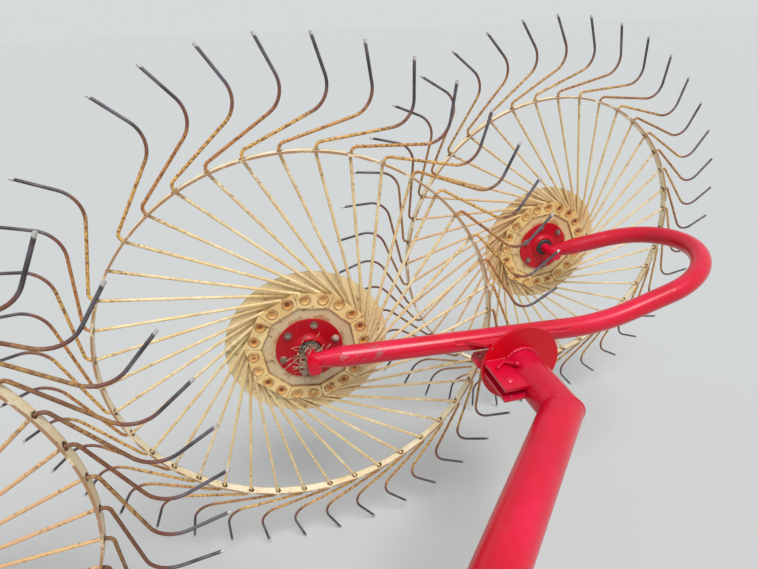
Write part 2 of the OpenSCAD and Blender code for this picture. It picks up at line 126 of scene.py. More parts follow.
def makeLight():
    light = {
        "sky": (0.93, 0.96, 1.0),
        "skyStrength": 0.62,
        "seen": (0.675, 0.700, 0.697),
        "keyStrength": 2.5,
        "keyWidth": 0.45,
        "keyPlace": (-2.5, 0.3, 6.5),
        "keyToward": (0.30, -0.35, -0.89),
    }
    world = bpy.data.worlds.new("softSky")
    bpy.context.scene.world = world
    world.use_nodes = True
    tree = world.node_tree
    background = tree.nodes["Background"]
    background.inputs["Color"].default_value = (*light["sky"], 1)
    background.inputs["Strength"].default_value = light["skyStrength"]
    seen = addNode(tree, "ShaderNodeBackground", {"Color": (*light["seen"], 1), "Strength": 1.0})
    path = addNode(tree, "ShaderNodeLightPath").outputs
    ray = greater(tree, path["Is Camera Ray"], path["Is Glossy Ray"])
    mixed = addNode(tree, "ShaderNodeMixShader", {0: ray, 1: background.outputs[0], 2: seen.outputs[0]})
    tree.links.new(mixed.outputs[0], tree.nodes["World Output"].inputs["Surface"])
    data = bpy.data.lights.new("softSun", "SUN")
    data.energy = light["keyStrength"]
    data.angle = light["keyWidth"]
    lamp = addObject("softSun", data)
    lamp.location = light["keyPlace"]
    lamp.rotation_mode = "QUATERNION"
    lamp.rotation_quaternion = Vector(light["keyToward"]).to_track_quat("-Z", "Y")


def addNode(tree, kind, inputs=None, **settings):
    node = tree.nodes.new(kind)
    for key, value in settings.items():
        setattr(node, key, value)
    for key, value in (inputs or {}).items():
        if isinstance(value, bpy.types.NodeSocket):
            tree.links.new(value, node.inputs[key])
        else:
            node.inputs[key].default_value = value
    return node


def maths(tree, operation, first, second=None, clamp=False):
    inputs = {0: first}
    if second is not None:
        inputs[1] = second
    return addNode(tree, "ShaderNodeMath", inputs, operation=operation, use_clamp=clamp).outputs[0]


def times(tree, first, second):
    return maths(tree, "MULTIPLY", first, second)


def plus(tree, first, second, clamp=False):
    return maths(tree, "ADD", first, second, clamp)


def minus(tree, first, second):
    return maths(tree, "SUBTRACT", first, second)


def greater(tree, first, second):
    return maths(tree, "MAXIMUM", first, second)


def cloudy(tree, place, scale, detail, roughness=0.5):
    inputs = {"Vector": place, "Scale": scale, "Detail": detail, "Roughness": roughness}
    return addNode(tree, "ShaderNodeTexNoise", inputs).outputs[0]


def chance(tree, index):
    return addNode(tree, "ShaderNodeTexWhiteNoise", {"W": index}, noise_dimensions="1D").outputs["Value"]


def ramp(tree, value, low, high, start=0.0, end=1.0, smooth=True):
    kind = "SMOOTHSTEP" if smooth else "LINEAR"
    inputs = {"Value": value, "From Min": low, "From Max": high, "To Min": start, "To Max": end}
    return addNode(tree, "ShaderNodeMapRange", inputs, interpolation_type=kind).outputs["Result"]


def blendColour(tree, amount, base, top):
    inputs = {0: amount}
    for index, value in ((6, base), (7, top)):
        inputs[index] = value if isinstance(value, bpy.types.NodeSocket) else (*value, 1)
    return addNode(tree, "ShaderNodeMix", inputs, data_type="RGBA").outputs[2]


def startGroup(name, values, gives, kind="NodeSocketFloat", place=True):
    group = bpy.data.node_groups.new(name, "ShaderNodeTree")
    if place:
        group.interface.new_socket("Vector", in_out="INPUT", socket_type="NodeSocketVector")
    for socketName, value in values.items():
        socket = group.interface.new_socket(socketName, in_out="INPUT", socket_type="NodeSocketFloat")
        socket.default_value = value
    for socketName in gives:
        group.interface.new_socket(socketName, in_out="OUTPUT", socket_type=kind)
    return group, group.nodes.new("NodeGroupInput").outputs, group.nodes.new("NodeGroupOutput").inputs


def useGroup(tree, name, **inputs):
    return addNode(tree, "ShaderNodeGroup", inputs, node_tree=bpy.data.node_groups[name]).outputs


def patches(tree, place, scale, cover, edge, bias=0.0):
    return useGroup(tree, "patches", Vector=place, Scale=scale, Cover=cover, Edge=edge, Bias=bias)["Mask"]


def rustTone(tree, place, scale, dark):
    return useGroup(tree, "rustTone", Vector=place, Scale=scale, Dark=dark)["Color"]


def edgeWear(tree, place, width, cover, scale):
    return useGroup(tree, "edgeWear", Vector=place, Width=width, Cover=cover, Scale=scale)["Mask"]


# Patches with ragged outlines, from 0 outside to 1 inside
def makePatchGroup():
    look = {"large": (5.0, 0.62), "fine": (3.0, 0.6), "finer": 6.3, "largeShare": 0.72, "fineShare": 0.28,
            "limit": 0.68, "reach": 0.36}
    values = {"Scale": 10.0, "Cover": 0.3, "Edge": 0.06, "Bias": 0.0}
    group, given, out = startGroup("patches", values, ["Mask"])
    large = cloudy(group, given["Vector"], given["Scale"], *look["large"])
    fine = cloudy(group, given["Vector"], times(group, given["Scale"], look["finer"]), *look["fine"])
    mixed = plus(group, times(group, large, look["largeShare"]), times(group, fine, look["fineShare"]))
    mixed = plus(group, mixed, given["Bias"])
    limit = minus(group, look["limit"], times(group, given["Cover"], look["reach"]))
    low, high = minus(group, limit, given["Edge"]), plus(group, limit, given["Edge"])
    group.links.new(ramp(group, mixed, low, high), out["Mask"])


# Rust from orange to dark brown
def makeRustGroup():
    look = {"noise": (6.0, 0.7), "brown": (0.085, 0.028, 0.013), "orange": (0.33, 0.115, 0.034),
            "dark": (0.035, 0.022, 0.018)}
    group, given, out = startGroup("rustTone", {"Scale": 60.0, "Dark": 0.4}, ["Color"], "NodeSocketColor")
    grain = cloudy(group, given["Vector"], given["Scale"], *look["noise"])
    warm = blendColour(group, ramp(group, grain, 0.35, 0.68), look["brown"], look["orange"])
    group.links.new(blendColour(group, given["Dark"], warm, look["dark"]), out["Color"])


# Where paint is rubbed off along sharp edges
def makeEdgeGroup():
    look = {"noise": (4.0, 0.65), "sharp": (0.999, 0.93), "limit": 0.72, "reach": 0.42, "soft": 0.07}
    group, given, out = startGroup("edgeWear", {"Width": 0.003, "Cover": 0.5, "Scale": 60.0}, ["Mask"])
    rounded = addNode(group, "ShaderNodeBevel", {"Radius": given["Width"]}, samples=4).outputs[0]
    flat = addNode(group, "ShaderNodeNewGeometry").outputs["Normal"]
    turn = addNode(group, "ShaderNodeVectorMath", {0: rounded, 1: flat}, operation="DOT_PRODUCT")
    edge = ramp(group, turn.outputs["Value"], *look["sharp"])
    speckle = cloudy(group, given["Vector"], given["Scale"], *look["noise"])
    limit = minus(group, look["limit"], times(group, given["Cover"], look["reach"]))
    ragged = ramp(group, speckle, limit, plus(group, limit, look["soft"]))
    group.links.new(times(group, edge, ragged), out["Mask"])


# Painted highlight mask (the node group named dust): what faces up, broken up by noise, where a lighter
# colour stands in for the sky's sheen
def makeUpwardSheenGroup():
    look = {"noise": (7.0, 0.7), "upward": (0.1, 0.95), "cloud": (0.35, 0.75)}
    group, given, out = startGroup("dust", {"Scale": 14.0, "Amount": 0.4}, ["Mask"])
    normal = addNode(group, "ShaderNodeNewGeometry").outputs["Normal"]
    upward = addNode(group, "ShaderNodeSeparateXYZ", {0: normal}).outputs["Z"]
    cloud = cloudy(group, given["Vector"], given["Scale"], *look["noise"])
    sheenMask = times(group, ramp(group, upward, *look["upward"]), ramp(group, cloud, *look["cloud"]))
    group.links.new(times(group, sheenMask, given["Amount"]), out["Mask"])


# Radius, turn and height of a point in a wheel's own frame
def makePolarGroup():
    group, given, out = startGroup("polar", {}, ["Radius", "Turn", "Height"])
    parts = addNode(group, "ShaderNodeSeparateXYZ", {0: given["Vector"]}).outputs
    square = plus(group, times(group, parts["X"], parts["X"]), times(group, parts["Y"], parts["Y"]))
    group.links.new(maths(group, "SQRT", square), out["Radius"])
    angle = maths(group, "ARCTAN2", parts["Y"], parts["X"])
    group.links.new(times(group, angle, 180 / math.pi), out["Turn"])
    group.links.new(parts["Z"], out["Height"])


# Distance in metres to the nearest of a ring of places
def makeRingGroup():
    values = {"Radius": 0.0, "Turn": 0.0, "Height": 0.0, "Pitch": 9.0, "First": 0.0, "Ring": 0.476}
    group, given, out = startGroup("ringDistance", values, ["Distance", "Index"], place=False)
    steps = maths(group, "DIVIDE", minus(group, given["Turn"], given["First"]), given["Pitch"])
    index = maths(group, "ROUND", steps)
    off = times(group, minus(group, steps, index), given["Pitch"])
    across = times(group, times(group, off, math.pi / 180), given["Radius"])
    outward = minus(group, given["Radius"], given["Ring"])
    square = plus(group, times(group, across, across), times(group, outward, outward))
    square = plus(group, square, times(group, given["Height"], given["Height"]))
    group.links.new(maths(group, "SQRT", square), out["Distance"])
    group.links.new(index, out["Index"])


def startMaterial(name, wheel=None):
    material = bpy.data.materials.new(name)
    material.use_nodes = True
    tree = material.node_tree
    place = addNode(tree, "ShaderNodeTexCoord").outputs["Object"]
    if wheel is not None:
        inverse = wheelMatrix(wheel).inverted()
        inputs = {"Vector": place, "Location": inverse.to_translation(), "Rotation": inverse.to_euler("XYZ")}
        place = addNode(tree, "ShaderNodeMapping", inputs, vector_type="POINT").outputs[0]
    return material, tree, place


def setSurface(tree, colour, rough, metal=None):
    inputs = tree.nodes["Principled BSDF"].inputs
    tree.links.new(colour, inputs["Base Color"])
    tree.links.new(rough, inputs["Roughness"])
    if metal is not None:
        tree.links.new(metal, inputs["Metallic"])


def setBump(tree, height, strength, distance):
    bump = addNode(tree, "ShaderNodeBump", {"Height": height, "Strength": strength, "Distance": distance})
    tree.links.new(bump.outputs[0], tree.nodes["Principled BSDF"].inputs["Normal"])


# Materials. Lengths in them are metres, and a wheel's materials are drawn in that wheel's own frame.

# Glossy red enamel with a painted highlight in pinker red on what faces up, and grey scuffs at given places
def redPaint(name, tone=(0.62, 0.0, 0.022), worn=0.10, scuffs=(), gloss=0.29, coat=0.22):
    shiny = coat > 0.2
    look = {"deep": 0.80, "sheenColour": (0.80, 0.010, 0.082), "sheenAmount": 0.60 if shiny else 0.15,
            "primer": (0.30, 0.21, 0.21), "bareShare": 0.70, "grime": (0.24, 0.05, 0.04), "grimeShare": 0.22,
            "shine": 0.33 if shiny else 0.25, "coatRough": 0.14}
    material, tree, place = startMaterial(name)
    cloud = cloudy(tree, place, 4.0, 3.0)
    deep = tuple(c * look["deep"] for c in tone)
    paint = blendColour(tree, ramp(tree, cloud, 0.32, 0.68), deep, tone)
    # Painted highlight: a pinker red laid on upward faces, standing in for the sky's sheen on the gloss
    upwardSheen = useGroup(tree, "dust", Vector=place, Scale=7.0, Amount=look["sheenAmount"])["Mask"]
    paint = blendColour(tree, upwardSheen, paint, look["sheenColour"])
    edge = edgeWear(tree, place, 0.0016, worn, 85.0)
    chips = patches(tree, place, 30.0, worn * 0.35, 0.012)
    bare = greater(tree, edge, chips)
    for centre, size, cover in scuffs:
        away = addNode(tree, "ShaderNodeVectorMath", {0: place, 1: centre}, operation="DISTANCE")
        spots = patches(tree, place, 95.0, cover, 0.02)
        bare = greater(tree, bare, times(tree, ramp(tree, away.outputs["Value"], size, size * 0.35), spots))
    rust = rustTone(tree, place, 55.0, 0.45)
    under = blendColour(tree, ramp(tree, cloud, 0.40, 0.52), rust, look["primer"])
    colour = blendColour(tree, times(tree, bare, look["bareShare"]), paint, under)
    grime = patches(tree, place, 9.0, 0.10, 0.10)
    colour = blendColour(tree, times(tree, grime, look["grimeShare"]), colour, look["grime"])
    rough = plus(tree, gloss, times(tree, bare, 0.34))
    rough = plus(tree, rough, times(tree, upwardSheen, 0.12))
    rough = plus(tree, rough, times(tree, grime, 0.15), clamp=True)
    setSurface(tree, colour, rough)
    peel = cloudy(tree, place, 150.0, 2.0)
    setBump(tree, minus(tree, times(tree, peel, 0.25), bare), 0.22, 0.0005)
    inputs = tree.nodes["Principled BSDF"].inputs
    inputs["Specular IOR Level"].default_value = look["shine"]
    inputs["Coat Weight"].default_value = coat
    inputs["Coat Roughness"].default_value = look["coatRough"]
    return material


# Spring wire: cream spokes, yellow and orange-brown tines by turns, rust in the fold, bare steel at the ends,
# and at the very tips a light band that is partly bright cut steel and partly a painted highlight
def wirePaint(number):
    look = {
        "cream": (0.79, 0.61, 0.28), "pale": (0.88, 0.75, 0.45), "speck": (0.15, 0.052, 0.022),
        "yellow": (0.78, 0.47, 0.13), "orange": (0.50, 0.20, 0.06), "fold": (0.155, 0.050, 0.034),
        "steel": (0.140, 0.125, 0.145), "darkSteel": (0.052, 0.044, 0.054), "tip": (0.52, 0.50, 0.47),
        "agedSpoke": (0.56, 0.23, 0.085), "agedTine": (0.080, 0.030, 0.028),
        "stain": (0.52, 0.27, 0.075), "age": {1: 0.05, 2: 0.24, 3: 0.88, 4: 0.45},
        "leftAge": {1: 0.0, 2: 0.55, 3: 0.0, 4: 0.20}, "left": 185.0,
        "spokeEnd": (0.474, 0.480), "foldStart": (0.545, 0.572), "steelStart": (0.590, 0.622),
        "bareTipAndGlintStart": (0.6910, 0.6945),
        "lean": (0.4926, 0.566, -0.3, -19.6), "leanBack": (0.575, 0.700, 0.0, 2.8),
    }
    material, tree, place = startMaterial(f"wirePaint{number}", number)
    polar = useGroup(tree, "polar", Vector=place)
    radius = polar["Radius"]
    cloud = cloudy(tree, place, 9.0, 4.0)
    leant = ramp(tree, radius, *look["lean"], smooth=False)
    back = ramp(tree, radius, *look["leanBack"], smooth=False)
    slant = plus(tree, plus(tree, leant, back), layout["wheels"][number]["phase"])
    steps = maths(tree, "DIVIDE", minus(tree, polar["Turn"], slant), layout["tinePitch"])
    index = maths(tree, "ROUND", steps)
    odd = maths(tree, "FLOORED_MODULO", index, 2.0)
    own = chance(tree, index)
    spoke = blendColour(tree, ramp(tree, cloud, 0.35, 0.65), look["cream"], look["pale"])
    tine = blendColour(tree, times(tree, odd, ramp(tree, own, 0.0, 0.6, 0.55, 1.0)),
                       look["yellow"], look["orange"])
    aged = look["age"][number]
    patchy = ramp(tree, cloud, 0.30, 0.60, 0.55 * aged, aged)
    toLeft = times(tree, minus(tree, polar["Turn"], look["left"]), math.pi / 180)
    leftward = ramp(tree, maths(tree, "COSINE", toLeft), 0.2, 0.9, 0.0, look["leftAge"][number])
    patchy = plus(tree, patchy, leftward, clamp=True)
    spoke = blendColour(tree, times(tree, patchy, 0.75), spoke, look["agedSpoke"])
    tine = blendColour(tree, patchy, tine, look["agedTine"])
    paint = blendColour(tree, ramp(tree, radius, *look["spokeEnd"]), spoke, tine)
    outward = ramp(tree, radius, 0.34, 0.52, 0.0, 0.07, smooth=False)
    stain = patches(tree, place, 17.0, 0.45, 0.10, outward)
    colour = blendColour(tree, times(tree, stain, 0.45 - 0.40 * aged), paint, look["stain"])
    specks = patches(tree, place, 150.0, 0.24, 0.035, outward)
    depth = ramp(tree, radius, 0.40, 0.50, 0.55, 0.85, smooth=False)
    colour = blendColour(tree, times(tree, specks, depth), colour, look["speck"])
    ragged = plus(tree, radius, times(tree, minus(tree, cloud, 0.5), 0.07))
    ragged = plus(tree, ragged, times(tree, minus(tree, own, 0.5), 0.02))
    fold = ramp(tree, ragged, *look["foldStart"])
    colour = blendColour(tree, times(tree, fold, 0.9), colour, look["fold"])
    bare = ramp(tree, ragged, *look["steelStart"])
    streaks = cloudy(tree, place, 28.0, 4.0)
    steel = blendColour(tree, ramp(tree, streaks, 0.30, 0.70), look["darkSteel"], look["steel"])
    colour = blendColour(tree, bare, colour, steel)
    # Light band at the very tips: partly bright cut steel, partly a painted highlight
    bareTipAndGlint = ramp(tree, radius, *look["bareTipAndGlintStart"])
    colour = blendColour(tree, bareTipAndGlint, colour, look["tip"])
    rough = plus(tree, 0.46, times(tree, specks, 0.25))
    rough = minus(tree, rough, times(tree, bare, 0.06))
    setSurface(tree, colour, rough, times(tree, bare, 0.35))
    grain = cloudy(tree, place, 420.0, 3.0)
    height = plus(tree, times(tree, grain, 0.5), times(tree, specks, -0.6))
    setBump(tree, height, 0.35, 0.0006)
    return material


# The hoop: cream flat bar with thin brown edges and rust round the holes
def hoopPaint(number):
    look = {"cream": (0.79, 0.65, 0.39), "pale": (0.86, 0.76, 0.53), "brown": (0.34, 0.155, 0.062),
            "stain": (0.56, 0.36, 0.16), "holeRust": (0.0125, 0.0055), "sideRust": (0.0092, 0.0109)}
    material, tree, place = startMaterial(f"hoopPaint{number}", number)
    polar = useGroup(tree, "polar", Vector=place)
    phase = layout["wheels"][number]["phase"]
    ring = useGroup(tree, "ringDistance", Radius=polar["Radius"], Turn=polar["Turn"], Height=polar["Height"],
                    Pitch=layout["tinePitch"], First=phase, Ring=layout["holeRing"])
    cloud = cloudy(tree, place, 14.0, 5.0)
    paint = blendColour(tree, ramp(tree, cloud, 0.35, 0.65), look["cream"], look["pale"])
    stain = patches(tree, place, 24.0, 0.30, 0.09)
    colour = blendColour(tree, times(tree, stain, 0.35), paint, look["stain"])
    nearHole = ramp(tree, ring["Distance"], *look["holeRust"])
    holes = patches(tree, place, 70.0, 0.08, 0.03, times(tree, nearHole, 0.23))
    side = ramp(tree, maths(tree, "ABSOLUTE", polar["Height"]), *look["sideRust"])
    edge = patches(tree, place, 26.0, 0.10, 0.06, times(tree, side, 0.22))
    colour = blendColour(tree, times(tree, edge, 0.85), colour, look["brown"])
    rust = rustTone(tree, place, 90.0, 0.55)
    colour = blendColour(tree, holes, colour, rust)
    bare = greater(tree, holes, edge)
    setSurface(tree, colour, plus(tree, 0.48, times(tree, bare, 0.30)))
    setBump(tree, times(tree, bare, -1.0), 0.4, 0.0006)
    return material


# Cream pressed plates. Rust lies in the cups, along the plates' edges and in the joints between them.
def platePaint(name, number, tone, cups=False):
    look = {
        "stain": (0.60, 0.33, 0.095), "stainShare": 0.50 if cups else 0.30, "line": (0.24, 0.100, 0.038),
        "inner": {2: (0.72, 0.52, 0.25)}.get(number, (0.62, 0.49, 0.29)), "innerEdge": (0.1165, 0.1155),
        "front": (0.0, 0.004), "weeping": (0.42, 0.16, 0.050), "hubEdge": (0.104, 0.084),
        "joint": 0.1094, "jointWidth": (0.0034, 0.0008), "rim": 0.0132, "rimWidth": (0.0022, 0.0008),
        "cupSide": (0.64, 0.27, 0.050), "sideEdge": (0.0118, 0.0085),
        "cupFloor": (0.19, 0.052, 0.014), "floorEdge": (0.0080, 0.0032),
    }
    material, tree, place = startMaterial(f"{name}{number}", number)
    first = layout["wheels"][number]["phase"] + layout["plateTurn"]
    polar = useGroup(tree, "polar", Vector=place)
    cloud = cloudy(tree, place, 13.0, 5.0)
    pale = tuple(min(0.86, c * 1.04 + 0.06) for c in tone)
    paint = blendColour(tree, ramp(tree, cloud, 0.35, 0.65), tone, pale)
    if not cups:
        inside = ramp(tree, polar["Radius"], *look["innerEdge"])
        inside = times(tree, inside, ramp(tree, polar["Height"], *look["front"]))
        paint = blendColour(tree, inside, paint, look["inner"])
        nearHub = times(tree, ramp(tree, polar["Radius"], *look["hubEdge"]), 0.13)
        weeping = patches(tree, place, 40.0, 0.10, 0.04, nearHub)
        paint = blendColour(tree, times(tree, times(tree, weeping, inside), 0.75), paint, look["weeping"])
    stain = patches(tree, place, 24.0, 0.42, 0.09)
    colour = blendColour(tree, times(tree, stain, look["stainShare"]), paint, look["stain"])
    edge = edgeWear(tree, place, 0.0018, 0.72, 110.0)
    chips = patches(tree, place, 46.0, 0.20, 0.02)
    bare = greater(tree, edge, chips)
    pitch, cupPitch = layout["platePitch"], layout["cupPitch"]
    steps = maths(tree, "DIVIDE", minus(tree, polar["Turn"], first + pitch / 2), pitch)
    off = times(tree, minus(tree, steps, maths(tree, "ROUND", steps)), math.radians(pitch))
    across = times(tree, polar["Radius"], maths(tree, "COSINE", off))
    joint = maths(tree, "ABSOLUTE", minus(tree, across, look["joint"]))
    joint = times(tree, ramp(tree, joint, *look["jointWidth"]), ramp(tree, polar["Height"], *look["front"]))
    if cups:
        ring = useGroup(tree, "ringDistance", Radius=polar["Radius"], Turn=polar["Turn"], Height=0.0,
                        Pitch=cupPitch, First=first + cupPitch / 2, Ring=layout["cupRing"])
        own = chance(tree, ring["Index"])
        ragged = plus(tree, ring["Distance"], times(tree, minus(tree, cloud, 0.5), 0.009))
        side = ramp(tree, ring["Distance"], *look["sideEdge"])
        side = times(tree, side, ramp(tree, own, 0.0, 0.35, 0.45, 0.95))
        colour = blendColour(tree, side, colour, look["cupSide"])
        floor = ramp(tree, ragged, *look["floorEdge"])
        floor = times(tree, floor, ramp(tree, own, 0.05, 0.5, 0.25, 1.0))
        colour = blendColour(tree, floor, colour, look["cupFloor"])
        rim = maths(tree, "ABSOLUTE", minus(tree, ring["Distance"], look["rim"]))
        joint = greater(tree, joint, ramp(tree, rim, *look["rimWidth"]))
    thin = patches(tree, place, 60.0, 0.60, 0.12)
    line = times(tree, times(tree, joint, thin), 0.80)
    colour = blendColour(tree, line, colour, look["line"])
    rust = rustTone(tree, place, 120.0, 0.2)
    colour = blendColour(tree, times(tree, bare, 0.85), colour, rust)
    setSurface(tree, colour, plus(tree, 0.44, times(tree, bare, 0.35)))
    setBump(tree, times(tree, bare, -1.0), 0.35, 0.0005)
    return material


# Worn steel, dull in patches and rusty in others
def bareSteel(name, tone=(0.30, 0.28, 0.26), rusty=0.35, shine=0.85):
    material, tree, place = startMaterial(name)
    dim, dark = (tuple(c * share for c in tone) for share in (0.6, 0.22))
    cloud = cloudy(tree, place, 40.0, 5.0)
    broad = cloudy(tree, place, 17.0, 1.0)
    steel = blendColour(tree, ramp(tree, cloud, 0.35, 0.65), dim, tone)
    steel = blendColour(tree, ramp(tree, broad, 0.46, 0.54, 0.0, 0.75), steel, dark)
    mask = patches(tree, place, 45.0, rusty, 0.06)
    rust = rustTone(tree, place, 150.0, 0.3)
    metal = times(tree, minus(tree, 1.0, times(tree, mask, 0.9)), shine)
    setSurface(tree, blendColour(tree, mask, steel, rust), plus(tree, 0.38, times(tree, mask, 0.4)), metal)
    setBump(tree, cloud, 0.3, 0.0004)
    return material


# Perished rubber with dust in its pores
def rubber(name):
    look = {"deep": (0.014, 0.012, 0.012), "worn": (0.040, 0.034, 0.032), "dust": (0.16, 0.11, 0.08)}
    material, tree, place = startMaterial(name)
    cloud = cloudy(tree, place, 90.0, 5.0)
    dusty = patches(tree, place, 80.0, 0.35, 0.08)
    black = blendColour(tree, ramp(tree, cloud, 0.3, 0.7), look["deep"], look["worn"])
    colour = blendColour(tree, times(tree, dusty, 0.35), black, look["dust"])
    setSurface(tree, colour, ramp(tree, cloud, 0.3, 0.7, 0.55, 0.8))
    setBump(tree, cloud, 0.4, 0.0004)
    return material


# Dry hay, pale stems with brown ones between them
def hay(name):
    look = {"brown": (0.11, 0.068, 0.036), "pale": (0.60, 0.49, 0.33), "dull": (0.34, 0.25, 0.14)}
    material, tree, place = startMaterial(name)
    tones = cloudy(tree, place, 130.0, 2.0)
    grain = cloudy(tree, place, 900.0, 3.0)
    stem = blendColour(tree, ramp(tree, tones, 0.38, 0.60), look["brown"], look["pale"])
    dull = times(tree, ramp(tree, grain, 0.5, 0.7), 0.35)
    colour = blendColour(tree, dull, stem, look["dull"])
    setSurface(tree, colour, ramp(tree, grain, 0.3, 0.7, 0.55, 0.75))
    setBump(tree, grain, 0.4, 0.0003)
    return material


for make in (makePatchGroup, makeRustGroup, makeEdgeGroup, makeUpwardSheenGroup, makePolarGroup, makeRingGroup):
    make()
makeCamera()
makeFloor()
makeLight()
print("camera, floor and light made")


def dress(name, material):
    mesh = nodes[name].data
    mesh.materials.clear()
    mesh.materials.append(material)


# Where the red paint is rubbed through, as place, size and cover
rubbed = [((-0.325, -2.514, -0.248), 0.050, 0.36), ((-0.270, -2.470, -0.240), 0.034, 0.30)]
frameRed = redPaint("frameRed", worn=0.30)
tubeRed = redPaint("tubeRed")
rockerRed = redPaint("rockerRed", scuffs=rubbed)
plateRed = redPaint("plateRed", tone=(0.66, 0.0, 0.010), worn=0.14, gloss=0.42, coat=0.10)
hubRed = redPaint("hubRed", tone=(0.52, 0.0, 0.010), worn=0.12, gloss=0.42, coat=0.10)
wornSteel = bareSteel("wornSteel")
zincSteel = bareSteel("zincSteel", tone=(0.64, 0.50, 0.40), rusty=0.36, shine=0.40)
blackRubber = rubber("blackRubber")
dryHay = hay("dryHay")
coats = [
    (rockerRed, ["rocker"]),
    (tubeRed, ["arm", "axles"]),
    (frameRed, ["lock_bracket", "cross_tube", "mast", "hitch_plates", "stand_sleeves", "stand"]),
    (plateRed, ["pivot_disc", "hinge_plates"]),
    (hubRed, ["hub"]),
    (wornSteel, ["rocker_pin", "hinge_pins", "hitch_pins"]),
]
for name in nodes:
    for material, stems in coats:
        if name in stems or name.rsplit("_", 1)[0] in stems:
            dress(name, material)
creams = {"disc": (0.86, 0.68, 0.38), "clamp": (0.83, 0.60, 0.25)}
# Wheel 2's tones are darker; on its disc this is painted shade, for the shadow its dense spokes cast on it
darker = {"disc": (0.80, 0.60, 0.31), "clamp": (0.83, 0.55, 0.20)}
for number in layout["wheels"]:
    tones = darker if number == 2 else creams
    dress(f"tines_{number}", wirePaint(number))
    dress(f"hoop_{number}", hoopPaint(number))
    dress(f"wheel_disc_{number}", platePaint("discPaint", number, tones["disc"]))
    dress(f"clamp_plates_{number}", platePaint("clampPaint", number, tones["clamp"], cups=True))
print("materials made:", len(bpy.data.materials))


# Added pieces: finished shapes, each set in its place, in millimetres in the frame of what carries them

def addPiece(name, shapes, body, material, home, sharp=35):
    bm = bmesh.new()
    for shape, place in shapes:
        start = len(bm.verts)
        bm.from_mesh(shape)
        bm.verts.ensure_lookup_table()
        bmesh.ops.transform(bm, matrix=place, verts=bm.verts[start:])
    bmesh.ops.transform(bm, matrix=home @ Matrix.Scale(0.001, 4), verts=bm.verts)
    bmesh.ops.recalc_face_normals(bm, faces=bm.faces)
    mesh = bpy.data.meshes.new(name)
    bm.to_mesh(mesh)
    bm.free()
    mesh.shade_smooth()
    mesh.set_sharp_from_angle(angle=math.radians(sharp))
    mesh.materials.append(material)
    piece = addObject(name, mesh)
    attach(piece, body)


def finishedShape(bm):
    bmesh.ops.remove_doubles(bm, verts=bm.verts, dist=0.005)
    bmesh.ops.recalc_face_normals(bm, faces=bm.faces)
    mesh = bpy.data.meshes.new("shape")
    bm.to_mesh(mesh)
    bm.free()
    return mesh


# A turned part: its outline is a list of radius and height, joined up when it is a ring
def turnedShape(outline, steps, ring=False):
    bm = bmesh.new()
    corners = [bm.verts.new((radius, 0, height)) for radius, height in outline]
    edges = [bm.edges.new(pair) for pair in zip(corners, corners[1:])]
    if ring:
        edges.append(bm.edges.new((corners[-1], corners[0])))
    bmesh.ops.spin(bm, geom=corners + edges, axis=(0, 0, 1), angle=2 * math.pi, steps=steps, use_merge=True)
    return finishedShape(bm)


def bevelledShape(bm, offset):
    bmesh.ops.bevel(bm, geom=list(bm.edges), offset=offset, offset_type="OFFSET", affect="EDGES",
                    segments=2, profile=0.5, material=-1)
    return finishedShape(bm)


def nutShape(radius, height):
    bm = bmesh.new()
    bmesh.ops.create_cone(bm, cap_ends=True, segments=6, radius1=radius, radius2=radius, depth=height,
                          matrix=moveBy(0, 0, height / 2))
    return bevelledShape(bm, radius * 0.09)


# A threaded end, closed by a chamfer, starting at height zero
def threadShape(radius, length, pitch):
    core, tip = radius * 0.9, radius * 0.82
    outline = [(0, 0), (core, 0)]
    height = pitch * 0.5
    while height < length - pitch:
        outline += [(radius, height), (core, height + pitch * 0.5)]
        height += pitch
    outline += [(radius, length - pitch * 0.6), (tip, length), (0, length)]
    return turnedShape(outline, steps=18)


def plateShape(width, depth, height, rounding):
    bm = bmesh.new()
    bmesh.ops.create_cube(bm, size=1, matrix=Matrix.Diagonal((width, depth, height, 1)))
    return bevelledShape(bm, rounding)


def circle(radius, count=40, start=0.0, end=360.0, centre=(0, 0, 0), up=(0, 1, 0)):
    whole = abs(end - start) >= 360
    angles = [math.radians(start + (end - start) * k / (count if whole else count - 1)) for k in range(count)]
    across, up, centre = Vector((1, 0, 0)), Vector(up), Vector(centre)
    return [centre + radius * (math.cos(a) * across + math.sin(a) * up) for a in angles]


def rectangle(x, y, z, wide, deep):
    return [(x + a * wide, y + b * deep, z) for a, b in ((-1, -1), (1, -1), (1, 1), (-1, 1))]


# Points at equal steps along a line of points
def evenly(points, step, closed):
    ends = [Vector(p) for p in points] + ([Vector(points[0])] if closed else [])
    places, travelled = [ends[0]], 0.0
    for near, far in zip(ends, ends[1:]):
        length = (far - near).length
        while travelled + length >= step:
            near = near.lerp(far, (step - travelled) / length)
            length = (far - near).length
            travelled = 0.0
            places.append(near)
        travelled += length
    if not closed:
        places.append(ends[-1])
    return places


# Round wires along lists of points, made from curves
def wireShape(paths, sides=1):
    data = bpy.data.curves.new("wires", "CURVE")
    data.dimensions = "3D"
    data.bevel_depth = 1.0
    data.bevel_resolution = sides
    data.use_fill_caps = True
    for path in paths:
        places = path["places"]
        sizes = path["size"] if isinstance(path["size"], list) else [path["size"]] * len(places)
        spline = data.splines.new("POLY")
        spline.points.add(len(places) - 1)
        for point, place, size in zip(spline.points, places, sizes):
            point.co = (*place, 1)
            point.radius = size
        spline.use_cyclic_u = path.get("closed", False)
    holder = bpy.data.objects.new("wires", data)
    mesh = bpy.data.meshes.new_from_object(holder)
    bpy.data.objects.remove(holder)
    bpy.data.curves.remove(data)
    return mesh


